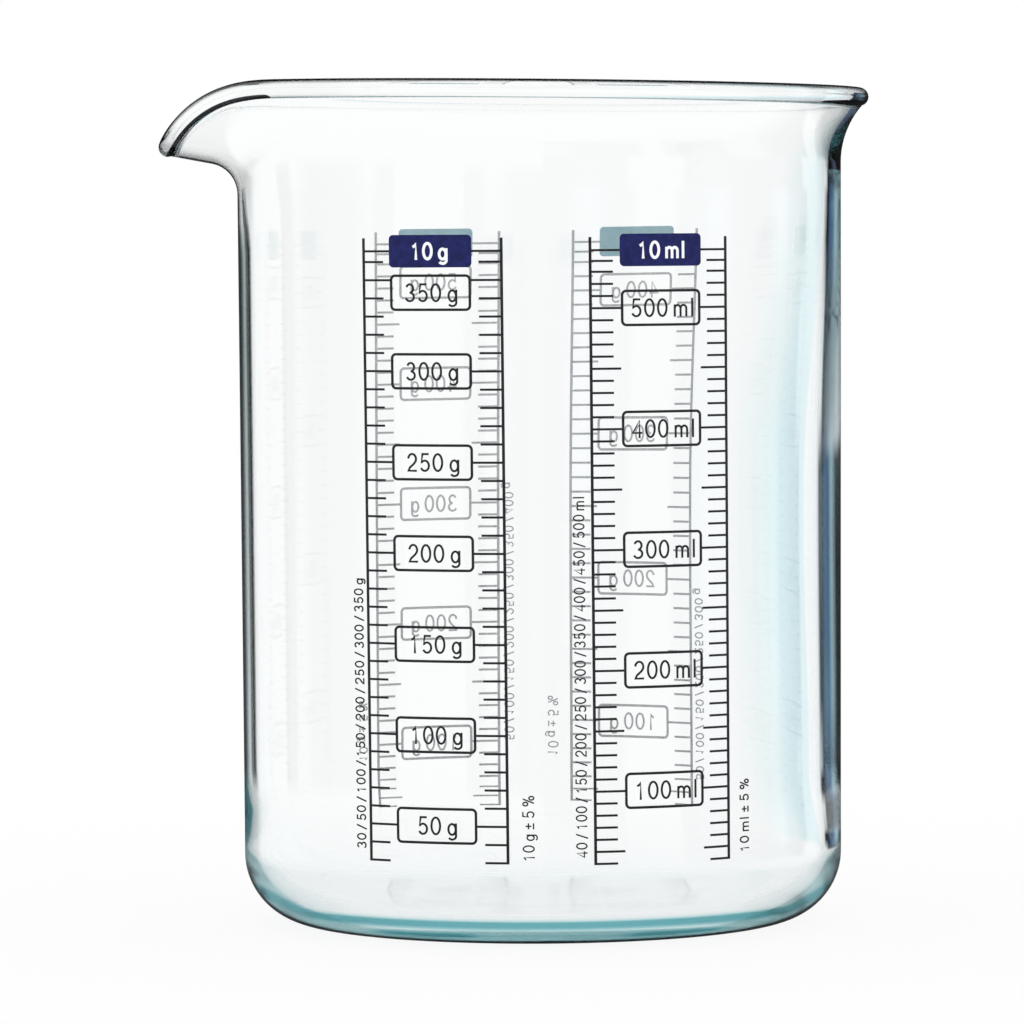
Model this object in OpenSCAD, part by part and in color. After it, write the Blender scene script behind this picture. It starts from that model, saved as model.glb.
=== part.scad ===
// Measuring jug: a beaker of clear glass with a flared, beaded rim and a pulled
// spout, and four enamel scales fired onto the outside of its wall.
// Millimetres. +Z is up, the jug stands on z = 0 with its axis on the Z axis,
// the spout points to -X and the two front scales face -Y.

/* [Glass body] */
// Outside diameter of the wall
body_d = 90; // [70:1:130]
// Height from the standing face to the top of the rim
body_h = 125.5; // [100:0.5:180]
// Thickness of the wall
wall_t = 2.3; // [1.4:0.1:4]
// Thickness of the base
base_t = 3.4; // [2:0.1:8]
// Outside radius of the corner between base and wall
corner_r = 10.5; // [5:0.5:18]
// Diameter of the hollow under the base
punt_d = 48; // [20:1:60]
// Depth of the hollow under the base
punt_h = 1.2; // [0.4:0.1:3]

/* [Rim] */
// Outside radius of the bend that flares the rim
flare_r = 13; // [6:0.5:18]
// Angle that the rim leans out from the wall, in degrees
flare_angle = 44; // [20:1:60]
// Diameter of the bead along the rim
bead_d = 2.7; // [2:0.1:5]

/* [Spout] */
// Half of the turn of rim that the spout takes up, in degrees
spout_half = 44; // [25:1:55]
// How sharply the spout gathers towards its middle
spout_gather = 3; // [1.5:0.5:12]
// Outside radius of the bend under the spout
spout_bend_r = 4.5; // [2.5:0.1:8]
// Angle that the floor of the spout leans out from the wall, in degrees
spout_angle = 80; // [60:1:88]
// Straight length of the spout's floor
spout_run = 7; // [3:0.5:14]
// How far the lip of the spout lies below the rim
spout_drop = 8; // [3:0.2:12]

/* [Print] */
// Thickness of the fired enamel
enamel_t = 0.12; // [0.05:0.01:0.3]
// Turn from the front of the jug to the middle of a front scale, in degrees
scale_turn = 21.7; // [18:0.1:30]
// Turn from the middle of the back pair to the middle of a back scale, in degrees
back_turn = 21.3; // [18:0.1:30]
// Turn by which the back pair is off the back of the jug, in degrees
back_off = 0.9; // [0:0.1:3]
// Width of a scale along the wall, over both rails
scale_w = 21.8; // [18:0.2:26]
// Width of a rail
rail_w = 0.42; // [0.2:0.02:0.8]
// Width of a tick
tick_w = 0.33; // [0.15:0.01:0.5]
// Length of a short tick
tick_l = 3.1; // [1.5:0.1:4]
// Length of a middle tick, at the halves
half_tick_l = 4.2; // [2:0.1:4.4]
// Height of the lowest place for a tick
print_low = 12.4; // [11:0.1:20]
// Distance from the rim down to the headings in front
heading_down = 24.3; // [20:0.1:40]
// How much higher the headings at the back stand
back_rise = 0.7; // [0:0.1:2]
// Height of the rails above the middle of the heading
rail_over = 1.9; // [0.5:0.1:4]
// Least distance from the heading's line to the tick below it
heading_gap = 1.55; // [0.8:0.05:3]

/* [Frames and headings] */
// Width of a number frame along the wall
frame_w = 12.5; // [9:0.1:14]
// Height of a number frame
frame_h = 5.3; // [4:0.1:7]
// Width of a frame's line
frame_line = 0.38; // [0.2:0.01:0.6]
// Outside corner radius of a frame
frame_r = 0.8; // [0.5:0.05:1.5]
// Width of a heading plaque along the wall
plaque_w = 12.7; // [9:0.1:14]
// Height of a heading plaque
plaque_h = 4.7; // [3:0.1:7]
// Corner radius of a heading plaque
plaque_r = 0.65; // [0.3:0.05:1.5]
// Gap between a heading plaque and the frame below it
plaque_gap = 1; // [0.5:0.1:3]

/* [Scales] */
// Weight of 1 ml of flour, in grams
flour_density = 0.663; // [0.5:0.001:0.8]
// Weight of 1 ml of sugar, in grams
sugar_density = 0.93; // [0.7:0.01:1.1]
// Weight of 1 ml of rice, in grams
rice_density = 0.778; // [0.6:0.001:1]
// Empty mark of the volume scale, above the floor inside
volume_zero = 2.16; // [0.5:0.02:4]
// Empty mark of the flour scale, above the floor inside
flour_zero = 1.62; // [0.5:0.02:4]
// Empty mark of the sugar scale, above the floor inside
sugar_zero = 1.5; // [0.5:0.02:4]
// Empty mark of the rice scale, above the floor inside
rice_zero = 1.06; // [0.5:0.02:4]

/* [Show] */
// Sub-part to show

/* [Hidden] */
$fn = 120;

// The wall: its outside radius and the middle of its glass
mid_r = body_d / 2;
half_t = wall_t / 2;
core_r = mid_r - half_t;

// The base: the corners inside and outside, and the ball that hollows the base
inner_r = mid_r - wall_t;
inner_corner_r = max(corner_r - wall_t, 1);
punt_ball = (pow(punt_d / 2, 2) + pow(punt_h, 2)) / (2 * punt_h);

// The rim and the spout, as the middle line of a strip of glass that runs up the
// wall, bends outwards, may run on straight and ends in the bead
bead_r = bead_d / 2;
bead_z = body_h - bead_r;
rim_bend = flare_r + half_t;
lip_bend = spout_bend_r + half_t;
rim_start = bead_z - rim_bend * sin(flare_angle);
lip_start = bead_z - spout_drop - lip_bend * sin(spout_angle)
    - spout_run * cos(spout_angle);
function blend(a, b, w) = a + (b - a) * w;
function pull(turn) = abs(turn) < spout_half
    ? pow(1 - pow(turn / spout_half, 2), spout_gather) : 0;
function bend_of(w) = blend(rim_bend, lip_bend, w);
function lean_of(w) = blend(flare_angle, spout_angle, w);
function run_of(w) = blend(0, spout_run, w);
function start_of(w) = blend(rim_start, lip_start, w);
function arc_of(w) = bend_of(w) * lean_of(w) * PI / 180;
function along(lean) = [sin(lean), cos(lean)];
function across(lean) = [cos(lean), -sin(lean)];
function hub_of(w) = [core_r + bend_of(w), start_of(w)];
function lean_at(w, s) = s < arc_of(w) ? s / bend_of(w) * 180 / PI : lean_of(w);
function strip_at(w, s) = hub_of(w) - bend_of(w) * across(lean_at(w, s))
    + max(0, s - arc_of(w)) * along(lean_of(w));
function bead_at(w) = strip_at(w, arc_of(w) + run_of(w));

// The lofted rim stands on the turned wall and bites a little into it, with its skin
// a hair inside the wall's there so that its flat facets stay in the glass
joint_z = min(lip_start, rim_start) - 2;
bite = 0.6;
skin = 0.06;
turns = 96;
crowding = 0.45 * 180 / PI;
rows = 10;
bead_rows = 10;
hold = acos((half_t - skin) / (bead_r - skin));
reach = (bead_r - skin) * sin(hold);

// The scales: turn, height of the empty mark, rise of one tick, ticks to a number,
// ticks to a half mark (0 for none) and height of the heading. The rise follows from
// the inside area.
fill_area = PI * pow(mid_r - wall_t, 2);
rise_10ml = 10000 / fill_area;
front_z = body_h - heading_down;
back_z = front_z + back_rise;
weight_scale = [
    -scale_turn, base_t + flour_zero, rise_10ml / flour_density, 5, 0, front_z
];
volume_scale = [scale_turn, base_t + volume_zero, rise_10ml, 10, 5, front_z];
sugar_scale = [
    180 - back_off + back_turn, base_t + sugar_zero, rise_10ml / sugar_density, 10, 5,
    back_z
];
rice_scale = [
    180 - back_off - back_turn, base_t + rice_zero, rise_10ml / rice_density, 10, 5,
    back_z
];
function first_tick(s) = ceil((print_low - s[1]) / s[2]);
function last_tick(s) = floor((s[5] - heading_gap * 0.6 - s[1]) / s[2]);
function tick_z(s, i) = min(s[1] + i * s[2], s[5] - heading_gap);
function frame_top(s) = s[5] - plaque_h / 2 - plaque_gap - frame_h / 2;
function frame_z(s, i) = min(tick_z(s, i), frame_top(s));
function link_end(s, i) = tick_z(s, i) - frame_z(s, i) < frame_h / 2 - frame_r / 2
    ? frame_w / 2 - frame_line / 2 : scale_w / 2 - rail_w - tick_l;
function is_number(s, i) = i % s[3] == 0;
function is_half(s, i) = s[4] > 0 && i % s[4] == 0;
function flat(u) = mid_r * sin(u / mid_r * 180 / PI);
print_end = back_z + max(rail_over, plaque_h / 2) + 1;
print_half = (scale_w / 2 + 1) / mid_r * 180 / PI;

// Section of the turned body: base with its hollow, and wall
module body_section() {
    difference() {
        union() {
            polygon([
                [0, 0],
                [mid_r - corner_r, 0],
                [mid_r - corner_r, corner_r],
                [mid_r, corner_r],
                [mid_r, joint_z],
                [0, joint_z]
            ]);
            translate([mid_r - corner_r, corner_r]) circle(r = corner_r);
        }
        inside_section();
        translate([0, punt_h - punt_ball]) circle(r = punt_ball, $fn = 1440);
    }
    intersection() {
        translate([0, base_t + punt_h - punt_ball]) circle(r = punt_ball, $fn = 1440);
        translate([0, base_t - punt_h / 2]) square([punt_d, 2 * punt_h]);
    }
}

// Room inside the wall
module inside_section() {
    top = base_t + inner_corner_r;
    polygon([
        [0, base_t],
        [inner_r - inner_corner_r, base_t],
        [inner_r - inner_corner_r, top],
        [inner_r, top],
        [inner_r, 2 * body_h],
        [0, 2 * body_h]
    ]);
    translate([inner_r - inner_corner_r, top]) circle(r = inner_corner_r);
}

// One section of the rim: up the outside, round the bead and down the inside
function skirt(w, side) = [
    for (k = [0 : rows])
        let (s = (arc_of(w) + run_of(w) - reach) * k / rows)
        strip_at(w, s) + side * (half_t - skin) * across(lean_at(w, s))
];
function bead_arc(w) = [
    for (k = [1 : bead_rows - 1])
        let (a = -hold + (180 + 2 * hold) * k / bead_rows)
        bead_at(w) + (bead_r - skin)
            * (cos(a) * across(lean_of(w)) + sin(a) * along(lean_of(w)))
];
function rim_section(w) = concat(
    [[mid_r - skin, joint_z - bite]],
    skirt(w, 1),
    bead_arc(w),
    [for (k = [rows : -1 : 0]) skirt(w, -1)[k]],
    [[inner_r + skin, joint_z - bite]]
);

// The rim and its spout: sections that change with the turn from the spout's
// middle, closer together at the spout than at the back
module rim() {
    sections = [
        for (i = [0 : turns - 1])
            let (u = 360 * i / turns, turn = u - crowding * sin(u))
            [for (p = rim_section(pull(turn > 180 ? turn - 360 : turn)))
                [-p[0] * cos(turn), -p[0] * sin(turn), p[1]]]
    ];
    n = len(sections[0]);
    points = [for (s = sections) for (p = s) p];
    sides = [
        for (i = [0 : turns - 1])
            for (j = [0 : n - 1])
                let (k = (i + 1) % turns, m = (j + 1) % n)
                for (f = [
                    [i * n + j, k * n + m, k * n + j],
                    [i * n + j, i * n + m, k * n + m]
                ]) f
    ];
    polyhedron(points = points, faces = sides, convexity = 8);
}

// What children draw, pushed out through the wall at a turn from the front
module outwards(turn) {
    rotate([0, 0, turn]) rotate([90, 0, 0]) linear_extrude(height = body_d) children();
}

// Thin coat on the wall, cut to the shape that children draw
module on_wall(turn) {
    low = print_low - 2;
    intersection() {
        rotate([0, 0, turn - 90 - print_half]) rotate_extrude(angle = 2 * print_half)
            translate([mid_r, low]) square([enamel_t, print_end - low]);
        outwards(turn) children();
    }
}

// Flat bar between two places along the wall and two heights
module bar(u1, u2, z1, z2) {
    translate([min(flat(u1), flat(u2)), z1]) square([abs(flat(u2) - flat(u1)), z2 - z1]);
}

// Rectangle with round corners about a height
module plate(w, h, r, z) {
    x = flat(w / 2) - r;
    y = h / 2 - r;
    polygon([
        for (corner = [[x, y, 0], [-x, y, 90], [-x, -y, 180], [x, -y, 270]])
            for (a = [0 : 18 : 90])
                [corner[0] + r * cos(corner[2] + a), z + corner[1] + r * sin(corner[2] + a)]
    ]);
}

// A rail with its ticks. side is -1 for the left one and 1 for the right one.
module comb(s, side) {
    edge = side * scale_w / 2;
    low = tick_z(s, first_tick(s)) - tick_w / 2;
    on_wall(s[0]) {
        bar(edge, edge - side * rail_w, low, s[5] + rail_over);
        for (i = [first_tick(s) : last_tick(s)])
            if (!is_number(s, i))
                bar(
                    edge - side * rail_w / 2,
                    edge - side * (rail_w + (is_half(s, i) ? half_tick_l : tick_l)),
                    tick_z(s, i) - tick_w / 2,
                    tick_z(s, i) + tick_w / 2
                );
    }
}

// The rings round the numbers, each linked to both rails, and the heading's links. A
// number whose mark is too close to the heading has its ring below short ticks.
module frames(s) {
    on_wall(s[0]) {
        for (i = [first_tick(s) : last_tick(s)])
            if (is_number(s, i)) {
                ring(frame_z(s, i));
                links(link_end(s, i), tick_z(s, i));
            }
        links(plaque_w / 2, s[5]);
    }
}

// Ring round a number
module ring(z) {
    line = 2 * frame_line;
    difference() {
        plate(frame_w, frame_h, frame_r, z);
        plate(frame_w - line, frame_h - line, frame_r - frame_line, z);
    }
}

// A pair of ticks that reach from the rails to what stands between them
module links(inner, z) {
    for (side = [-1, 1])
        bar(
            side * inner,
            side * (scale_w / 2 - rail_w),
            z - tick_w / 2,
            z + tick_w / 2
        );
}

// Heading plate between the tops of the rails
module plaque(s) {
    on_wall(s[0])
        plate(plaque_w, plaque_h, plaque_r, s[5]);
}

module glass_body() {
    color([0.8, 0.93, 0.93, 0.5])
        union() {
            rotate_extrude($fn = 180) body_section();
            rim();
        }
}

module weight_left_comb() {
    color([0.05, 0.05, 0.07]) comb(weight_scale, -1);
}

module weight_right_comb() {
    color([0.05, 0.05, 0.07]) comb(weight_scale, 1);
}

module weight_frames() {
    color([0.05, 0.05, 0.07]) frames(weight_scale);
}

module weight_plaque() {
    color([0.08, 0.1, 0.32]) plaque(weight_scale);
}

module volume_left_comb() {
    color([0.05, 0.05, 0.07]) comb(volume_scale, -1);
}

module volume_right_comb() {
    color([0.05, 0.05, 0.07]) comb(volume_scale, 1);
}

module volume_frames() {
    color([0.05, 0.05, 0.07]) frames(volume_scale);
}

module volume_plaque() {
    color([0.08, 0.1, 0.32]) plaque(volume_scale);
}

module sugar_left_comb() {
    color([0.05, 0.05, 0.07]) comb(sugar_scale, -1);
}

module sugar_right_comb() {
    color([0.05, 0.05, 0.07]) comb(sugar_scale, 1);
}

module sugar_frames() {
    color([0.05, 0.05, 0.07]) frames(sugar_scale);
}

module sugar_plaque() {
    color([0.08, 0.1, 0.32]) plaque(sugar_scale);
}

module rice_left_comb() {
    color([0.05, 0.05, 0.07]) comb(rice_scale, -1);
}

module rice_right_comb() {
    color([0.05, 0.05, 0.07]) comb(rice_scale, 1);
}

module rice_frames() {
    color([0.05, 0.05, 0.07]) frames(rice_scale);
}

module rice_plaque() {
    color([0.08, 0.1, 0.32]) plaque(rice_scale);
}

glass_body();
weight_left_comb();
weight_right_comb();
weight_frames();
weight_plaque();
volume_left_comb();
volume_right_comb();
volume_frames();
volume_plaque();
sugar_left_comb();
sugar_right_comb();
sugar_frames();
sugar_plaque();
rice_left_comb();
rice_right_comb();
rice_frames();
rice_plaque();
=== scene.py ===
import math

import bmesh
import bpy
from mathutils import Matrix, Vector


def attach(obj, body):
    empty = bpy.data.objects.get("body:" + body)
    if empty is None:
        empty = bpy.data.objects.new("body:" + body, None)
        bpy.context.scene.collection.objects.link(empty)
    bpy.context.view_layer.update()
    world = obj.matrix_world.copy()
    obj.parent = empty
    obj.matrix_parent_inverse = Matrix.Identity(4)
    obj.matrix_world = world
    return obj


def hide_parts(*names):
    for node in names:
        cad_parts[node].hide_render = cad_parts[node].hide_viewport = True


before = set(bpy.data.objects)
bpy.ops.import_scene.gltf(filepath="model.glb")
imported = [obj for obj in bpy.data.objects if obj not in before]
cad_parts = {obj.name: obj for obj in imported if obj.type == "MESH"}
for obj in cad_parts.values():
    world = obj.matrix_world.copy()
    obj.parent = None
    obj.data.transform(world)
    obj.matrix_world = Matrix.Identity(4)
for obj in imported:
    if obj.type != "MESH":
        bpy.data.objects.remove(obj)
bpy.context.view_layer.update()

# ---------------------------------------------------------------- glass body
# The jug itself: one piece of clear heat-proof glass with the faint sea-green tint that
# thick glass has. It is blown in a mould, its mouth is flared and fire-polished to a bead,
# and the spout is pulled out of the hot rim.
MM = 0.001
WALL_R = 45.0
JUG_H = 125.5
HALF_WALL = 1.15
BASE_T = 3.4
CORNER_R = 10.5
INNER_CORNER_R = 8.2
PUNT_R = 24.0
PUNT_H = 1.2
PUNT_BALL = (PUNT_R**2 + PUNT_H**2) / (2 * PUNT_H)
BEAD_R = 1.35
BEAD_INSET = -0.1
BEAD_Z = JUG_H - BEAD_R
RIM_BEND, RIM_LEAN = 13 + HALF_WALL, 44.0
LIP_BEND, LIP_LEAN, LIP_RUN, LIP_DROP = 4.5 + HALF_WALL, 80.0, 7.0, 8.0
SPOUT_HALF, SPOUT_GATHER = 44.0, 3.0
CORE_R = WALL_R - HALF_WALL
RIM_START = BEAD_Z - RIM_BEND * math.sin(math.radians(RIM_LEAN))
LIP_START = (BEAD_Z - LIP_DROP - LIP_BEND * math.sin(math.radians(LIP_LEAN))
             - LIP_RUN * math.cos(math.radians(LIP_LEAN)))
DRAFT, DRAFT_LOW, DRAFT_SPAN = 0.373, 15.0, 95.0
STANDING_RINGS = (27.0, 31.0)
COLUMNS, SPOUT_CROWDING = 288, 0.45
PUNT_STEPS, CORNER_STEPS, WALL_STEPS, RIM_STEPS = 8, 36, 24, 24
BEAD_STEPS, INNER_WALL_STEPS, INNER_CORNER_STEPS = 24, 32, 24


def ease(low, high, value):
    t = min(max((value - low) / (high - low), 0.0), 1.0)
    return t * t * (3 - 2 * t)


def spout_pull(turn):
    turn = (turn + 180) % 360 - 180
    if abs(turn) >= SPOUT_HALF:
        return 0.0
    return (1 - (turn / SPOUT_HALF) ** 2) ** SPOUT_GATHER


def wall_inset(turn, z):
    """How far the inside of the wall lies from the middle of the glass: blown glass runs
    thicker on the side away from the spout, most of all half way up."""
    side = (0.5 - 0.5 * math.cos(math.radians(turn))) ** 3
    thick = 0.55 + side * (0.2 + 1.15 * ease(112, 66, z) - 0.3 * ease(60, 20, z))
    return HALF_WALL + (thick - HALF_WALL) * ease(11.6, 22, z)


def flare_inset(turn, z):
    """The same for the whole height: the glass thins where the rim was drawn outwards."""
    inset, pull = wall_inset(turn, z), spout_pull(turn)
    return inset + (BEAD_INSET - inset) * ease(110 - 8 * pull, 122 - 5 * pull, z)


def mould_draft(z):
    """How much wider the mould is at a height, so that the jug comes out of it."""
    return DRAFT * min(max((z - DRAFT_LOW) / DRAFT_SPAN, 0.0), 1.1)


def punt_rise(r):
    """How high the shallow hollow under the base stands at a radius."""
    return PUNT_H - PUNT_BALL + math.sqrt(PUNT_BALL**2 - r * r)


def rim_settle(turn, x, z):
    """How far the fire-polished rim stands off its level, a little low away from the spout."""
    return ease(100, 118, z) * (0.146 - 0.0087 * x + (1 - spout_pull(turn)) * (0.17 - 0.006 * x))


def foot_tint_with_painted_reflection(a, x):
    """How deep the foot's colour is at an angle of its corner: a light real tint of the thick
    glass, with painted reflection deepest along the top edge of the thick glass, which climbs at
    the two sides, and in a streak left and right."""
    # Painted reflection: the deep band along the top edge and the streaks stand for dark
    # surroundings mirrored in the foot.
    t, x = a / (50 + 16 * ease(34, 43, abs(x))), abs(x)
    streak = ease(0.54, 0.62, t) * ease(0.74, 0.66, t) * ease(9, 14, x) * ease(28, 22, x)
    deep = 1.1 * ease(0.8, 0.9, t) * (1 - 0.55 * ease(28, 42, x))
    return (0.3 + deep + 1.2 * streak) * ease(1.07, 1.0, t)


def glass_section(turn):
    """Half section of the glass at a turn from the spout, from the middle of the standing
    side, up the outside, round the bead and down the inside to the middle of the floor.
    Each point is (radius, height, edge, foot, wavy, outline): how much painted shade darkens
    the edge of the bead there, how much of the foot's tint and painted reflection shows, how
    uneven the face is, and how much painted shade outlines the foot, the lip and the spout."""
    w = spout_pull(turn)
    bend = RIM_BEND + (LIP_BEND - RIM_BEND) * w
    lean = RIM_LEAN + (LIP_LEAN - RIM_LEAN) * w
    run = LIP_RUN * w
    start = RIM_START + (LIP_START - RIM_START) * w
    arc = bend * math.radians(lean)

    def strip(s):
        a = min(s / bend, math.radians(lean))
        on = max(0.0, s - arc)
        x = CORE_R + bend - bend * math.cos(a) + on * math.sin(a)
        z = start + bend * math.sin(a) + on * math.cos(a)
        return x, z, a

    points = []
    for k in range(PUNT_STEPS + 1):
        r = PUNT_R * k / PUNT_STEPS
        points.append((r, punt_rise(r), 0, 0, 0, 0))
    points += [(r, 0.0, 0, 0, 0, 0) for r in STANDING_RINGS]
    for k in range(CORNER_STEPS + 1):
        climb = 90 * k / CORNER_STEPS
        a = math.radians(climb)
        r = WALL_R - CORNER_R + CORNER_R * math.sin(a)
        x = r * math.cos(math.radians(turn))
        # Painted shade: the outline mark along the foot's corner.
        points.append((r, CORNER_R - CORNER_R * math.cos(a), 0, foot_tint_with_painted_reflection(climb, x), 0,
                       (1.17 - 0.22 * abs(x) / WALL_R) * ease(90, 75, climb)))
    for k in range(1, WALL_STEPS):
        points.append((WALL_R, CORNER_R + (start - CORNER_R) * k / WALL_STEPS, 0, 0, 0, 0))
    outer_hold = math.acos(HALF_WALL / BEAD_R)
    inner_hold = math.acos(BEAD_INSET / BEAD_R)
    bearing = (turn + 180) % 360 - 180
    # Painted shade: a dark crease mark on the bead beside the spout and on the far side from it.
    painted_crease_shade = max(3.2 * ease(0.03, 0.06, w) * (1 - 0.6 * w), 3.2 * ease(134, 165, abs(bearing)))
    # Painted shade: the outline mark of the flared strip at the lip and the spout.
    for k in range(RIM_STEPS + 1):
        x, z, a = strip((arc + run - BEAD_R * math.sin(outer_hold)) * k / RIM_STEPS)
        points.append((x + HALF_WALL * math.cos(a), z - HALF_WALL * math.sin(a), 0, 0, 0,
                       max(0.86 * ease(0.02, 0.2, w), painted_crease_shade * (k == RIM_STEPS))))
    x, z, a = strip(arc + run)
    # Painted shade: on the far side from the spout most of the bead is marked dark.
    far_side_shade = ease(162, 172, abs(bearing))
    for k in range(1, BEAD_STEPS):
        b = -outer_hold + (math.pi + outer_hold + inner_hold) * k / BEAD_STEPS
        out, up = math.cos(b - a), math.sin(b - a)
        # Painted shade: the edge mark darkens the bead's top towards the outside, and the bead at
        # the spout's tip.
        edge = ease(0.45 - 0.9 * w, 0.7 - 0.9 * w, up) * ease(-0.15, 0.1, out)
        edge = max(edge, 0.45 * ease(0.8, 0.95, w), far_side_shade * ease(-0.6, -0.2, up))
        points.append((x + BEAD_R * out, z + BEAD_R * up, edge, 0, 0, painted_crease_shade * ease(4, 2, k)))
    for k in range(RIM_STEPS, -1, -1):
        x, z, a = strip((arc + run - BEAD_R * math.sin(inner_hold)) * k / RIM_STEPS)
        inset = flare_inset(turn, z)
        points.append((x - inset * math.cos(a), z + inset * math.sin(a), 0, 0, 0, 0))
    low = BASE_T + INNER_CORNER_R
    for k in range(1, INNER_WALL_STEPS):
        z = start + (low - start) * k / INNER_WALL_STEPS
        points.append((CORE_R - flare_inset(turn, z), z, 0, 0, 0, 0))
    for k in range(INNER_CORNER_STEPS + 1):
        a = math.radians(90 * (1 - k / INNER_CORNER_STEPS))
        r = WALL_R - CORNER_R
        points.append((r + INNER_CORNER_R * math.sin(a), low - INNER_CORNER_R * math.cos(a),
                       0, 0, ease(0.6, 1.0, k / INNER_CORNER_STEPS), 0))
    points += [(r, BASE_T, 0, 0, 1, 0) for r in reversed(STANDING_RINGS)]
    for k in range(PUNT_STEPS, -1, -1):
        r = PUNT_R * k / PUNT_STEPS
        points.append((r, BASE_T + punt_rise(r), 0, 0, 1, 0))
    return points


def blown_glass():
    """The whole glass: sections all round the axis, closer together at the spout."""
    bm = bmesh.new()
    marks = bm.verts.layers.float_color.new("glass_marks")
    rings = []
    bottom = bm.verts.new((0, 0, PUNT_H * MM))
    floor = bm.verts.new((0, 0, (BASE_T + PUNT_H) * MM))
    bottom[marks], floor[marks] = (0, 0, 0, 0), (0, 0, 1, 0)
    for i in range(COLUMNS):
        u = 2 * math.pi * i / COLUMNS
        a = u - SPOUT_CROWDING * math.sin(u)
        ring = []
        for r, z, *mark in glass_section(math.degrees(a))[1:-1]:
            r += mould_draft(z)
            x, y = -r * math.cos(a), -r * math.sin(a)
            rise = rim_settle(math.degrees(a), x, z)
            ring.append(bm.verts.new((x * MM, y * MM, (z + rise) * MM)))
            ring[-1][marks] = mark
        rings.append(ring)
    for i in range(COLUMNS):
        here, there = rings[i], rings[(i + 1) % COLUMNS]
        bm.faces.new((bottom, there[0], here[0]))
        bm.faces.new((floor, here[-1], there[-1]))
        for j in range(len(here) - 1):
            bm.faces.new((here[j], there[j], there[j + 1], here[j + 1]))
    bmesh.ops.recalc_face_normals(bm, faces=bm.faces)
    for f in bm.faces:
        f.smooth = True
    mesh = bpy.data.meshes.new("blown_glass")
    bm.to_mesh(mesh)
    bm.free()
    jug = bpy.data.objects.new("blown_glass", mesh)
    bpy.context.scene.collection.objects.link(jug)
    return jug


def step(tree, operation, *values):
    """One sum in a shader, from numbers and other outputs."""
    node = tree.nodes.new("ShaderNodeMath")
    node.operation = operation
    for socket, value in zip(node.inputs, values):
        if isinstance(value, (int, float)):
            socket.default_value = value
        else:
            tree.links.new(value, socket)
    return node.outputs[0]


def spread(tree, value, low, high):
    """0 at the low value, 1 at the high one and a straight run between."""
    node = tree.nodes.new("ShaderNodeMapRange")
    node.inputs["From Min"].default_value = low
    node.inputs["From Max"].default_value = high
    tree.links.new(value, node.inputs["Value"])
    return node.outputs["Result"]


def choose(tree, factor, a, b):
    """The first colour where the factor is 0, the second where it is 1."""
    node = tree.nodes.new("ShaderNodeMix")
    node.data_type = "RGBA"
    tree.links.new(factor, node.inputs["Factor"])
    for socket, value in ((node.inputs[6], a), (node.inputs[7], b)):
        if isinstance(value, tuple):
            socket.default_value = (*value, 1)
        else:
            tree.links.new(value, socket)
    return node.outputs[2]


clear_glass = bpy.data.materials.new("clear_glass")
clear_glass.use_nodes = True
tree = clear_glass.node_tree
glass = tree.nodes["Principled BSDF"]
glass.inputs["Base Color"].default_value = (1, 1, 1, 1)
glass.inputs["Transmission Weight"].default_value = 1.0
glass.inputs["IOR"].default_value = 1.47
glass.inputs["Roughness"].default_value = 0.0
sea_tint = tree.nodes.new("ShaderNodeVolumeAbsorption")
sea_tint.inputs["Color"].default_value = (0.187, 0.575, 0.609, 1)
sea_tint.inputs["Density"].default_value = 10.0
tree.links.new(sea_tint.outputs["Volume"], tree.nodes["Material Output"].inputs["Volume"])

# Painted shade: marks on the glass darken its colour almost to black at the bead's edge and
# along the outlines of the foot, lip and spout where they turn edge-on. The thick foot is
# deeper in tint, partly the real tint of thick glass and partly painted reflection.
PAINTED_EDGE_SHADE, FOOT_TINT_AND_REFLECTION, UNEVEN_ROUGH = (0.0005, 0.0006, 0.0008), (0.09, 0.36, 0.41), 0.1
marks = tree.nodes.new("ShaderNodeAttribute")
marks.attribute_name = "glass_marks"
parts = tree.nodes.new("ShaderNodeSeparateColor")
tree.links.new(marks.outputs["Color"], parts.inputs["Color"])
angle = tree.nodes.new("ShaderNodeLayerWeight")
angle.inputs["Blend"].default_value = 0.5
side = tree.nodes.new("ShaderNodeNewGeometry")
front = step(tree, "SUBTRACT", 1.0, side.outputs["Backfacing"])
turned = spread(tree, angle.outputs["Facing"], 0.2, 0.32)
painted_bead_shade = step(tree, "MULTIPLY", turned, parts.outputs["Red"])
reach = step(tree, "MULTIPLY", angle.outputs["Facing"], marks.outputs["Alpha"])
# Painted shade: the outline mark darkens the glass's colour where the foot, lip and spout turn
# edge-on.
outline = step(tree, "MULTIPLY", spread(tree, reach, 0.8, 0.86), front)
# The foot's colour on faces seen from outside: real tint of thick glass with painted reflection.
deep_foot_and_reflection = tree.nodes.new("ShaderNodeGamma")
deep_foot_and_reflection.inputs["Color"].default_value = (*FOOT_TINT_AND_REFLECTION, 1)
tree.links.new(step(tree, "MULTIPLY", parts.outputs["Green"], front), deep_foot_and_reflection.inputs["Gamma"])
darkest = step(tree, "MAXIMUM", painted_bead_shade, outline)
tint = choose(tree, darkest, deep_foot_and_reflection.outputs["Color"], PAINTED_EDGE_SHADE)
tree.links.new(tint, glass.inputs["Base Color"])
uneven = step(tree, "MULTIPLY", parts.outputs["Blue"], UNEVEN_ROUGH)
tree.links.new(uneven, glass.inputs["Roughness"])

jug = blown_glass()
jug.data.materials.append(clear_glass)
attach(jug, "root")
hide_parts("glass_body")

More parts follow.
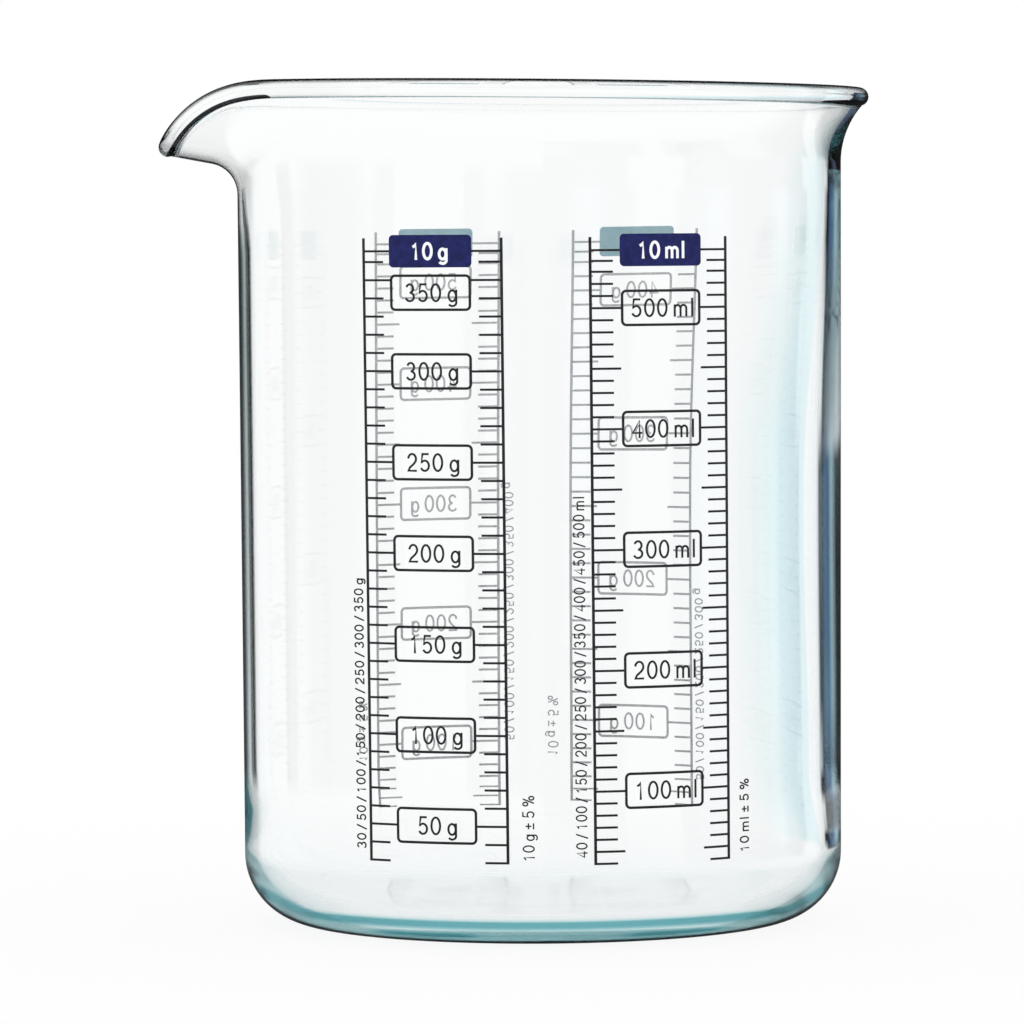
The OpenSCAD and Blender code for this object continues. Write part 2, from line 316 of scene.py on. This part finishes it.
# ------------------------------------------------------------- front left scale
# The weight scale: black enamel screen-printed on the outside of the wall and fired, with
# a dark blue heading plate. Its underside, seen through the glass from within, is painted
# pale to stand for light shining through the thin enamel from behind.
ENAMEL_LOW, ENAMEL_HIGH = 0.012, 0.1
FILL_RISE = 10000 / (math.pi * (WALL_R - 2 * HALF_WALL) ** 2)
SCALE_W, RAIL_W, TICK_W, TICK_L, HALF_TICK_L = 21.8, 0.42, 0.33, 3.1, 4.2
PRINT_LOW, RAIL_OVER, HEADING_GAP = 12.4, 1.9, 1.55
FRONT_Z = JUG_H - 24.3
FRAME_W, FRAME_H, FRAME_LINE, FRAME_R = 12.5, 5.3, 0.38, 0.8
PLAQUE_W, PLAQUE_H, PLAQUE_R = 12.7, 4.7, 0.65
PRINT_LEAN, LEAN_FROM = -0.0045, 15.0
LAYER_LIFT, HAIR = 0.0015, 0.002
NUMBER_H, NUMBER_PEN, NUMBER_SHIFT = 2.7, 0.31, 0.2
HEADING_H, HEADING_PEN, HEADING_SINK = 2.5, 0.42, 0.02
ROW_H, MARGIN_H, NOTE_PEN = 1.65, 1.75, 0.21
WEIGHT_PER_ML = 0.663


def fired_enamel(name, colour, mottling, rough):
    """Enamel with the slight mottling, uneven gloss and mesh grain of a screen print."""
    enamel = bpy.data.materials.new(name)
    enamel.use_nodes = True
    nodes, links = enamel.node_tree.nodes, enamel.node_tree.links
    shader = nodes["Principled BSDF"]
    shader.inputs["Specular IOR Level"].default_value = 0.15
    place = nodes.new("ShaderNodeTexCoord")
    mottle = nodes.new("ShaderNodeTexNoise")
    mottle.inputs["Scale"].default_value = 900
    mottle.inputs["Detail"].default_value = 4
    links.new(place.outputs["Object"], mottle.inputs["Vector"])
    ramp = nodes.new("ShaderNodeValToRGB")
    ramp.color_ramp.elements[0].position = 0.3
    ramp.color_ramp.elements[1].position = 0.7
    ramp.color_ramp.elements[0].color = [c * (1 - mottling) for c in colour] + [1]
    ramp.color_ramp.elements[1].color = [min(1, c * (1 + mottling)) for c in colour] + [1]
    links.new(mottle.outputs["Fac"], ramp.inputs["Fac"])
    links.new(ramp.outputs["Color"], shader.inputs["Base Color"])
    gloss = nodes.new("ShaderNodeMapRange")
    gloss.inputs["To Min"].default_value = rough - 0.08
    gloss.inputs["To Max"].default_value = rough + 0.08
    links.new(mottle.outputs["Fac"], gloss.inputs["Value"])
    links.new(gloss.outputs["Result"], shader.inputs["Roughness"])
    grain = nodes.new("ShaderNodeTexNoise")
    grain.inputs["Scale"].default_value = 6000
    links.new(place.outputs["Object"], grain.inputs["Vector"])
    bump = nodes.new("ShaderNodeBump")
    bump.inputs["Strength"].default_value = 0.15
    bump.inputs["Distance"].default_value = 0.00003
    links.new(grain.outputs["Fac"], bump.inputs["Height"])
    links.new(bump.outputs["Normal"], shader.inputs["Normal"])
    return enamel


black_enamel = fired_enamel("black_enamel", (0.014, 0.014, 0.017), 0.35, 0.32)
blue_enamel = fired_enamel("blue_enamel", (0.009, 0.012, 0.085), 0.3, 0.25)
white_enamel = fired_enamel("white_enamel", (0.86, 0.88, 0.9), 0.04, 0.35)
# Painted light: the undersides are pale to stand for the bright room shining through the thin
# enamel from behind.
painted_backlight_underside = fired_enamel("painted_backlight_underside", (0.9, 0.92, 0.93), 0.05, 0.5)
painted_backlight_blue_underside = fired_enamel("painted_backlight_blue_underside", (0.5, 0.84, 0.95), 0.05, 0.5)


def fired_on(name, patches, turn, face, underside, low=ENAMEL_LOW, high=ENAMEL_HIGH):
    """Fires flat patches onto the wall at a turn from the front. A patch is a list of
    points (mm along the wall, mm up) and a list of faces; it gets a thickness and rims."""
    bm = bmesh.new()
    for layer, (points, faces) in enumerate(patches):
        lift = LAYER_LIFT * (layer % 4)
        rows = []
        for out in (low - lift, high + lift):
            row = []
            for u, z in points:
                a = math.radians(turn) + (u + PRINT_LEAN * (z - LEAN_FROM)) / WALL_R
                r = WALL_R + mould_draft(z) + out
                row.append(bm.verts.new((r * math.sin(a) * MM, -r * math.cos(a) * MM, z * MM)))
            rows.append(row)
        within, without = rows
        walked = {(f[k], f[(k + 1) % len(f)]) for f in faces for k in range(len(f))}
        for f in faces:
            bm.faces.new([without[k] for k in f])
            bm.faces.new([within[k] for k in reversed(f)]).material_index = 1
        for a, b in walked:
            if (b, a) not in walked:
                bm.faces.new((within[a], within[b], without[b], without[a]))
    mesh = bpy.data.meshes.new(name)
    bm.to_mesh(mesh)
    bm.free()
    fired = bpy.data.objects.new(name, mesh)
    bpy.context.scene.collection.objects.link(fired)
    mesh.materials.append(face)
    mesh.materials.append(underside)
    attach(fired, "root")
    return fired


def joined(rectangles):
    """One patch from rectangles (u1, u2, z1, z2), sharing the points where they meet."""
    points, index, faces = [], {}, []

    def point(u, z):
        key = (round(u, 4), round(z, 4))
        if key not in index:
            index[key] = len(points)
            points.append((u, z))
        return index[key]

    for u1, u2, z1, z2 in rectangles:
        steps = max(1, math.ceil((u2 - u1) / 1.2))
        us = [u1 + (u2 - u1) * k / steps for k in range(steps + 1)]
        for a, b in zip(us, us[1:]):
            faces.append((point(a, z1), point(b, z1), point(b, z2), point(a, z2)))
    return points, faces


def rounded_ring(w, h, r, line, z):
    """A patch in the shape of a line round a rectangle with round corners."""
    points, faces = [], []
    for inset in (0, line):
        for cu, cz, turn in ((1, 1, 0), (-1, 1, 90), (-1, -1, 180), (1, -1, 270)):
            for k in range(7):
                a = math.radians(turn + 15 * k)
                points.append((cu * (w / 2 - r) + (r - inset) * math.cos(a),
                               z + cz * (h / 2 - r) + (r - inset) * math.sin(a)))
            if turn in (0, 180):
                for k in range(1, 10):
                    points.append((cu * (w / 2 - r) * (1 - k / 5), z + cz * (h / 2 - inset)))
    n = len(points) // 2
    for k in range(n):
        m = (k + 1) % n
        faces.append((k, m, m + n, k + n))
    return points, faces


def rounded_plate(w, h, r, z):
    """A filled rectangle with round corners, as a patch."""
    us = [-w / 2 + r - r * math.cos(math.radians(15 * k)) for k in range(7)]
    us += [(-1 + k / 5) * (w / 2 - r) for k in range(1, 10)]
    us += [-u for u in reversed(us[:7])]
    points, faces = [], []
    for u in us:
        over = max(0.0, abs(u) - (w / 2 - r))
        half = h / 2 - r + math.sqrt(max(0.0, r * r - over * over))
        points += [(u, z - half), (u, z + half)]
    for k in range(len(us) - 1):
        faces.append((2 * k, 2 * k + 2, 2 * k + 3, 2 * k + 1))
    return points, faces


def bow(cx, cz, rx, rz, start, end, steps=14):
    """Points along part of an oval, between two angles in degrees."""
    angles = [math.radians(start + (end - start) * k / steps) for k in range(steps + 1)]
    return [(cx + rx * math.cos(a), cz + rz * math.sin(a)) for a in angles]


# Plain figures as a sign-writer's pen strokes, for a height of 1: (width, strokes).
FIGURES = {
    "0": (0.58, [bow(0.29, 0.5, 0.235, 0.45, 90, -270, 28)]),
    "1": (0.58, [[(0.12, 0.74), (0.24, 0.8), (0.31, 0.95), (0.31, 0.0)]]),
    "2": (0.58, [bow(0.29, 0.68, 0.215, 0.27, 175, -25, 18)
                 + [(0.4, 0.44), (0.16, 0.22), (0.08, 0.05), (0.54, 0.05)]]),
    "3": (0.58, [bow(0.275, 0.725, 0.19, 0.225, 160, -90, 16),
                 bow(0.275, 0.275, 0.225, 0.225, 90, -160, 18)]),
    "4": (0.58, [[(0.41, 0.0), (0.41, 0.95), (0.05, 0.28), (0.56, 0.28)]]),
    "5": (0.58, [[(0.5, 0.95), (0.16, 0.95), (0.1, 0.49)]
                 + bow(0.285, 0.325, 0.225, 0.275, 140, -155, 18)]),
    "g": (0.54, [bow(0.26, 0.33, 0.195, 0.29, 0, -360, 24), [(0.47, 0.66), (0.47, 0.0)]
                 + bow(0.265, -0.03, 0.205, 0.185, 0, -150, 12)]),
    "m": (0.86, [[(0.08, 0.0), (0.08, 0.66)],
                 bow(0.245, 0.44, 0.165, 0.19, 165, 0, 10) + [(0.41, 0.0)],
                 bow(0.575, 0.44, 0.165, 0.19, 165, 0, 10) + [(0.74, 0.0)]]),
    "l": (0.2, [[(0.1, 0.0), (0.1, 1.0)]]),
    "+": (0.6, [[(0.06, 0.5), (0.54, 0.5)], [(0.3, 0.26), (0.3, 0.74)],
                [(0.06, 0.08), (0.54, 0.08)]]),
    "%": (0.9, [bow(0.22, 0.74, 0.14, 0.2, 0, 360, 16), bow(0.68, 0.24, 0.14, 0.2, 0, 360, 16),
                [(0.62, 0.95), (0.28, 0.03)]]),
    "/": (0.4, [[(0.03, -0.06), (0.37, 1.0)]]),
    " ": (0.08, []),
}


def pen_stroke(points, width):
    """A patch as wide as the pen along a line of points."""
    closed = math.dist(points[0], points[-1]) < 1e-6
    if closed:
        points = points[:-1]
    n = len(points)
    edges, faces = [], []
    for k in range(n):
        before = points[(k - 1) % n] if closed or k > 0 else points[k]
        after = points[(k + 1) % n] if closed or k < n - 1 else points[k]
        here = points[k]
        ways = []
        for a, b in ((before, here), (here, after)):
            d = math.dist(a, b)
            if d > 1e-9:
                ways.append((-(b[1] - a[1]) / d, (b[0] - a[0]) / d))
        nx, nz = sum(w[0] for w in ways) / len(ways), sum(w[1] for w in ways) / len(ways)
        grow = width / 2 / max(nx * nx + nz * nz, 0.35)
        edges.append((here[0] + nx * grow, here[1] + nz * grow))
        edges.append((here[0] - nx * grow, here[1] - nz * grow))
    for k in range(n if closed else n - 1):
        m = (k + 1) % n
        faces.append((2 * k, 2 * k + 1, 2 * m + 1, 2 * m))
    return edges, faces


def lettered(name, words, turn, u, z, height, pen, face, underside, upright=True,
             low=ENAMEL_LOW, high=ENAMEL_HIGH):
    """A row of figures of a given height, centred on a place of the wall."""
    stretch, gap = 1.05, 0.13
    total = sum(FIGURES[c][0] * stretch + gap for c in words) - gap
    at, patches = -total / 2, []
    for c in words:
        for stroke in FIGURES[c][1]:
            flat = [((at + x * stretch) * height, (y - 0.5) * height) for x, y in stroke]
            if not upright:
                flat = [(-y, x) for x, y in flat]
            points, faces = pen_stroke(flat, pen)
            patches.append(([(u + x, z + y) for x, y in points], faces))
        at += FIGURES[c][0] * stretch + gap
    return fired_on(name, patches, turn, face, underside, low, high)


def printed_scale(name, turn, zero, rise, per_number, per_half, top, unit, heading, notes):
    """One scale: two combs, the linked frames, the heading plate and the figures. Each tick
    is 10 units; a note is (figures, mm along the wall, mm up, height)."""
    first = math.ceil((PRINT_LOW - zero) / rise)
    last = math.floor((top - HEADING_GAP * 0.6 - zero) / rise)
    tick_z = {i: min(zero + i * rise, top - HEADING_GAP) for i in range(first, last + 1)}
    for side, word in ((-1, "left"), (1, "right")):
        edge, inner = side * SCALE_W / 2, side * (SCALE_W / 2 - RAIL_W)
        bars, levels = [], [tick_z[first] - TICK_W / 2, top + RAIL_OVER]
        for i in range(first, last + 1):
            if i % per_number:
                long = HALF_TICK_L if per_half and i % per_half == 0 else TICK_L
                low, high = tick_z[i] - TICK_W / 2, tick_z[i] + TICK_W / 2
                bars.append((*sorted((inner, inner - side * long)), low, high))
                levels += [low, high]
        levels = sorted(set(levels))
        for low, high in zip(levels, levels[1:]):
            bars.append((*sorted((edge, inner)), low, high))
        comb = fired_on(f"{name}_{word}_comb_print", [joined(bars)], turn, black_enamel,
                        painted_backlight_underside)
        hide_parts(f"{name}_{word}_comb")
    patches, numbers = [], []
    for i in range(first, last + 1):
        if i % per_number:
            continue
        z = min(tick_z[i], top - PLAQUE_H / 2 - 1 - FRAME_H / 2)
        patches.append(rounded_ring(FRAME_W, FRAME_H, FRAME_R, FRAME_LINE, z))
        numbers.append((i * 10, z))
        close = tick_z[i] - z < FRAME_H / 2 - FRAME_R / 2
        reach = FRAME_W / 2 + HAIR if close else SCALE_W / 2 - RAIL_W - TICK_L
        for side in (-1, 1):
            ends = sorted((side * reach, side * (SCALE_W / 2 - RAIL_W - HAIR)))
            patches.append(joined([(*ends, tick_z[i] - TICK_W / 2, tick_z[i] + TICK_W / 2)]))
    for side in (-1, 1):
        ends = sorted((side * (PLAQUE_W / 2 + HAIR), side * (SCALE_W / 2 - RAIL_W - HAIR)))
        patches.append(joined([(*ends, top - TICK_W / 2, top + TICK_W / 2)]))
    rings = fired_on(f"{name}_frames_print", patches, turn, black_enamel, painted_backlight_underside)
    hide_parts(f"{name}_frames")
    plate = fired_on(f"{name}_plaque_print", [rounded_plate(PLAQUE_W, PLAQUE_H, PLAQUE_R, top)],
                     turn, blue_enamel, painted_backlight_blue_underside)
    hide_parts(f"{name}_plaque")
    for amount, z in numbers:
        figures = lettered(f"{name}_{amount}_figures", f"{amount} {unit}", turn, NUMBER_SHIFT, z,
                           NUMBER_H, NUMBER_PEN, black_enamel, painted_backlight_underside)
    title = lettered(f"{name}_heading_figures", heading, turn, 0, top, HEADING_H, HEADING_PEN,
                     white_enamel, white_enamel, low=ENAMEL_HIGH - HEADING_SINK,
                     high=ENAMEL_HIGH + HEADING_SINK)
    for k, (words, u, z, height) in enumerate(notes):
        note = lettered(f"{name}_note_{k}", words, turn, u, z, height, NOTE_PEN, black_enamel,
                        painted_backlight_underside, upright=False)


printed_scale("weight", -21.7, BASE_T + 1.45, FILL_RISE / WEIGHT_PER_ML, 5, 0, FRONT_Z, "g", "10 g",
              [("30 / 50 / 100 / 150 / 200 / 250 / 300 / 350 g", -12.4, 34.0, ROW_H),
               ("10 g + 5 %", 13.7, 17.8, MARGIN_H)])

# ------------------------------------------------------------ front right scale
# The volume scale: the same black enamel and blue heading plate, printed beside the weight
# scale and fired with it. Every fifth tick is longer, and every tenth has a number.
printed_scale("volume", 21.7, BASE_T + 2.16, FILL_RISE, 10, 5, FRONT_Z, "ml", "10 ml",
              [("40 / 100 / 150 / 200 / 250 / 300 / 350 / 400 / 450 / 500 ml", -12.7, 39.6, ROW_H),
               ("10 ml + 5 %", 13.7, 18.6, MARGIN_H)])

# ------------------------------------------------------------------ back scales
# Two more weight scales on the far side of the wall, for sugar and for rice, in the same
# fired enamel. From the front they are seen from behind and reversed, their undersides
# painted pale for light shining through the thin enamel.
BACK_Z = FRONT_Z + 0.7
SUGAR_PER_ML, RICE_PER_ML = 0.93, 0.778
printed_scale("sugar", 200.6, BASE_T + 1.5, FILL_RISE / SUGAR_PER_ML, 10, 5, BACK_Z, "g", "10 g",
              [("50 / 100 / 150 / 200 / 250 / 300 / 350 / 400 g", -12.4, 44.0, ROW_H),
               ("10 g + 5 %", 13.7, 26.0, MARGIN_H)])
printed_scale("rice", 158.2, BASE_T + 1.06, FILL_RISE / RICE_PER_ML, 10, 5, BACK_Z, "g", "10 g",
              [("50 / 100 / 150 / 200 / 250 / 300 g", -12.4, 33.0, ROW_H),
               ("10 g + 5 %", 13.7, 26.0, MARGIN_H)])

# ------------------------------------------------------------------------ stage
# A white table in a white room with a pale blue screen at the right. Dark cards stand round
# the table at its own level: they give clear glass its dark outlines in reflections.

# Rings on the table are in metres from the jug's axis. Levels, reaches, falls and rises are
# how steeply a ray climbs. Screen and cards are (degrees from straight behind, colour).
OPEN_RING, REFLECTED_SHADE_RING, SHADOW_RING = (0.09, 0.15), (0.18, 0.1), (0.25, 0.06)
SHADOW_DEPTH = 0.1
LEFT_FALL, LEFT_REACH = (-0.02, -0.075), (0.11, 0.18)
RIGHT_LEVEL, RIGHT_REACH = -0.042, (0.012, 0.045)
FLARE_FALL, RIGHT_RISE = (-0.22, -0.28), (0.025, 0.05)
OPEN_LEVEL, OPEN_REACH = -0.15, (0.35, 0.45)
AHEAD_FROM, AHEAD_TO = (-40, -34), (52, 44)
SCREEN = [(7.5, (1, 1, 1)), (8.8, (0.93, 0.98, 0.98)), (10.9, (0.85, 0.955, 0.97)),
          (12.5, (0.72, 0.91, 0.94)), (15.0, (0.66, 0.87, 0.92)), (18.5, (0.66, 0.87, 0.92)),
          (19.5, (1, 1, 1))]
LEFT_CARDS = [(0, (0.03, 0.035, 0.035)), (11, (0.04, 0.048, 0.05)), (16, (0.36, 0.41, 0.42)),
              (19, (0.65, 0.72, 0.73)), (21, (0.5, 0.57, 0.58)), (23.2, (0.01, 0.013, 0.015)),
              (29.8, (0.002, 0.003, 0.003)), (31.2, (1, 1, 1))]
LEFT_LOW = [(0, (0.09, 0.11, 0.12)), (11, (0.1, 0.12, 0.13)), (16, (0.6, 0.66, 0.7)),
            (19, (1, 1, 1)), (21.4, (0.85, 0.92, 0.96)), (23.6, (0.01, 0.013, 0.015)),
            (29.8, (0.002, 0.003, 0.003)), (31.2, (1, 1, 1))]
RIGHT_CARDS = [(0, (0.02, 0.02, 0.025)), (8, (0.03, 0.04, 0.05)), (13.5, (0.4, 0.62, 0.75)),
               (18.5, (0.7, 0.95, 1)), (21, (0.4, 0.66, 0.85)), (24, (0.1, 0.22, 0.38)),
               (29, (0.06, 0.12, 0.25)), (31.5, (0.004, 0.004, 0.008)), (35, (0.004, 0.004, 0.008)),
               (37.5, (1, 1, 1))]
RIGHT_HIGH = [(0, (0.01, 0.01, 0.015)), (10, (0.02, 0.025, 0.035)), (15, (0.13, 0.17, 0.26)),
              (19, (0.14, 0.18, 0.29)), (24, (0.03, 0.04, 0.08)), (26, (0.004, 0.004, 0.008)),
              (32, (0.004, 0.004, 0.008)), (34, (1, 1, 1))]
RIGHT_FLARE = [(0, (0.5, 0.55, 0.6)), (8, (0.6, 0.65, 0.7)), (12, (0.01, 0.01, 0.015)),
               (39, (0.004, 0.004, 0.008)), (41.5, (1, 1, 1))]


def by_angle(tree, radians, span, stops):
    """The colour of a list of cards at an angle, for a list that spans so many degrees."""
    node = tree.nodes.new("ShaderNodeValToRGB")
    while len(node.color_ramp.elements) < len(stops):
        node.color_ramp.elements.new(0.5)
    for element, (degrees, colour) in zip(node.color_ramp.elements, stops):
        element.position = degrees / span
        element.color = (*colour, 1)
    tree.links.new(step(tree, "MULTIPLY", radians, 180 / math.pi / span), node.inputs["Fac"])
    return node.outputs["Color"]


bpy.ops.mesh.primitive_plane_add(size=12, location=(0, 0, -0.0002))
table_top = bpy.context.object
table_top.name = "table_top"
white_top = bpy.data.materials.new("white_top")
white_top.use_nodes = True
nodes, links = white_top.node_tree.nodes, white_top.node_tree.links
nodes.clear()
tree = white_top.node_tree
spot = nodes.new("ShaderNodeNewGeometry")
distance = nodes.new("ShaderNodeVectorMath")
distance.operation = "LENGTH"
links.new(spot.outputs["Position"], distance.inputs[0])
path = nodes.new("ShaderNodeLightPath")
lighting = step(tree, "GREATER_THAN", path.outputs["Diffuse Depth"], 0.5)
bent = step(tree, "ADD", path.outputs["Transmission Depth"], path.outputs["Glossy Depth"])
bent = step(tree, "GREATER_THAN", step(tree, "SUBTRACT", bent, lighting), 0.5)
open_to_room = step(tree, "MULTIPLY", bent, spread(tree, distance.outputs["Value"], *OPEN_RING))
shade = nodes.new("ShaderNodeBsdfDiffuse")
shade.inputs["Color"].default_value = (0.9, 0.9, 0.9, 1)
glow = nodes.new("ShaderNodeEmission")
# Painted shade: within a ring round the jug the table glows almost black, but only where the
# outside of the glass mirrors it, to darken the foot's outline.
outside = step(tree, "LESS_THAN", path.outputs["Transmission Depth"], 0.5)
outside = step(tree, "MULTIPLY", outside, path.outputs["Is Glossy Ray"])
outside = step(tree, "MULTIPLY", outside, spread(tree, distance.outputs["Value"], *REFLECTED_SHADE_RING))
links.new(choose(tree, outside, (1, 1, 1), (0.02, 0.022, 0.024)), glow.inputs["Color"])
glow.inputs["Strength"].default_value = 1.0
shadow = spread(tree, distance.outputs["Value"], *SHADOW_RING)
shadow = step(tree, "MULTIPLY", shadow, SHADOW_DEPTH)
lit = nodes.new("ShaderNodeMixShader")
links.new(step(tree, "MAXIMUM", shadow, lighting), lit.inputs["Fac"])
links.new(glow.outputs[0], lit.inputs[1])
links.new(shade.outputs[0], lit.inputs[2])
clear = nodes.new("ShaderNodeBsdfTransparent")
mix = nodes.new("ShaderNodeMixShader")
links.new(open_to_room, mix.inputs["Fac"])
links.new(lit.outputs[0], mix.inputs[1])
links.new(clear.outputs[0], mix.inputs[2])
out = nodes.new("ShaderNodeOutputMaterial")
links.new(mix.outputs[0], out.inputs["Surface"])
table_top.data.materials.append(white_top)

room = bpy.data.worlds.new("white_room")
bpy.context.scene.world = room
room.use_nodes = True
room.cycles.sampling_method = "NONE"
tree = room.node_tree
nodes, links = tree.nodes, tree.links
nodes.clear()
towards = nodes.new("ShaderNodeTexCoord")
split = nodes.new("ShaderNodeSeparateXYZ")
links.new(towards.outputs["Generated"], split.inputs[0])
height = split.outputs["Z"]
around = step(tree, "ARCTAN2", split.outputs["X"], split.outputs["Y"])
screen = by_angle(tree, around, 20, SCREEN)
folded = step(tree, "PINGPONG", around, math.pi / 4)
left = choose(tree, spread(tree, height, *LEFT_FALL), by_angle(tree, folded, 45, LEFT_CARDS),
              by_angle(tree, folded, 45, LEFT_LOW))
left = choose(tree, spread(tree, step(tree, "ABSOLUTE", height), *LEFT_REACH), left, (1, 1, 1))
half_way = step(tree, "ABSOLUTE", step(tree, "ADD", height, -RIGHT_LEVEL))
right = choose(tree, spread(tree, half_way, *RIGHT_REACH), by_angle(tree, folded, 45, RIGHT_CARDS),
               by_angle(tree, folded, 45, RIGHT_HIGH))
right = choose(tree, spread(tree, height, *FLARE_FALL), right,
               by_angle(tree, folded, 45, RIGHT_FLARE))
middle = step(tree, "ABSOLUTE", step(tree, "ADD", height, -OPEN_LEVEL))
right = choose(tree, spread(tree, middle, *OPEN_REACH), right, (1, 1, 1))
right = choose(tree, spread(tree, height, *RIGHT_RISE), right, (1, 1, 1))
cards = choose(tree, step(tree, "GREATER_THAN", around, 0), left, right)
ahead = step(tree, "MULTIPLY", spread(tree, around, *map(math.radians, AHEAD_FROM)),
             spread(tree, around, *map(math.radians, AHEAD_TO)))
path = nodes.new("ShaderNodeLightPath")
through = step(tree, "GREATER_THAN", path.outputs["Transmission Depth"], 0.5)
deep = step(tree, "GREATER_THAN", path.outputs["Transmission Depth"], 2.5)
bounced = step(tree, "GREATER_THAN", path.outputs["Glossy Depth"], 0.5)
lighting = step(tree, "GREATER_THAN", path.outputs["Diffuse Depth"], 0.5)
outside = choose(tree, ahead, (1, 1, 1), (0.02, 0.02, 0.02))
mirrored = choose(tree, through, outside, cards)
mirrored = choose(tree, deep, mirrored, screen)
seen = choose(tree, bounced, choose(tree, through, (1, 1, 1), screen), mirrored)
colour = choose(tree, lighting, seen, (1, 1, 1))
plain = nodes.new("ShaderNodeBackground")
plain.inputs["Strength"].default_value = 1.0
links.new(colour, plain.inputs["Color"])
out = nodes.new("ShaderNodeOutputWorld")
links.new(plain.outputs[0], out.inputs["Surface"])

# ----------------------------------------------------------------------- camera
# A long lens about a metre away, a little below the rim and almost level, square to the two
# front scales. Lengths are in mm and angles in degrees; the focal length is in pixels.
FOCAL_PX, IMAGE_PX = 6701.2, 1024
away, eye, pitch, yaw, roll, facing = 1009.84, 105.95, 2.515, -0.248, -0.354, -1.63
lens = bpy.data.cameras.new("camera")
lens.sensor_fit = "HORIZONTAL"
lens.sensor_width = 36
lens.lens = lens.sensor_width * FOCAL_PX / IMAGE_PX
lens.clip_start = 0.01
lens.clip_end = 50
camera = bpy.data.objects.new("camera", lens)
bpy.context.scene.collection.objects.link(camera)
p, r = math.radians(pitch), math.radians(roll)
turn = Matrix.Rotation(math.radians(-yaw), 3, "Z")
right = turn @ Vector((1, 0, 0))
ahead = turn @ Vector((0, math.cos(p), -math.sin(p)))
up = turn @ Vector((0, math.sin(p), math.cos(p)))
right, up = (math.cos(r) * right + math.sin(r) * up, math.cos(r) * up - math.sin(r) * right)
stand = Matrix.Rotation(math.radians(facing), 3, "Z")
axes = [stand @ v for v in (right, up, -ahead)]
spot = stand @ Vector((0, -away * MM, eye * MM))
camera.matrix_world = Matrix([[axes[0][k], axes[1][k], axes[2][k], spot[k]] for k in range(3)]
                             + [[0, 0, 0, 1]])
bpy.context.scene.camera = camera

view = bpy.context.scene.view_settings
view.view_transform = "Standard"
cycles = bpy.context.scene.cycles
cycles.max_bounces = 64
cycles.transmission_bounces = 64
cycles.glossy_bounces = 64
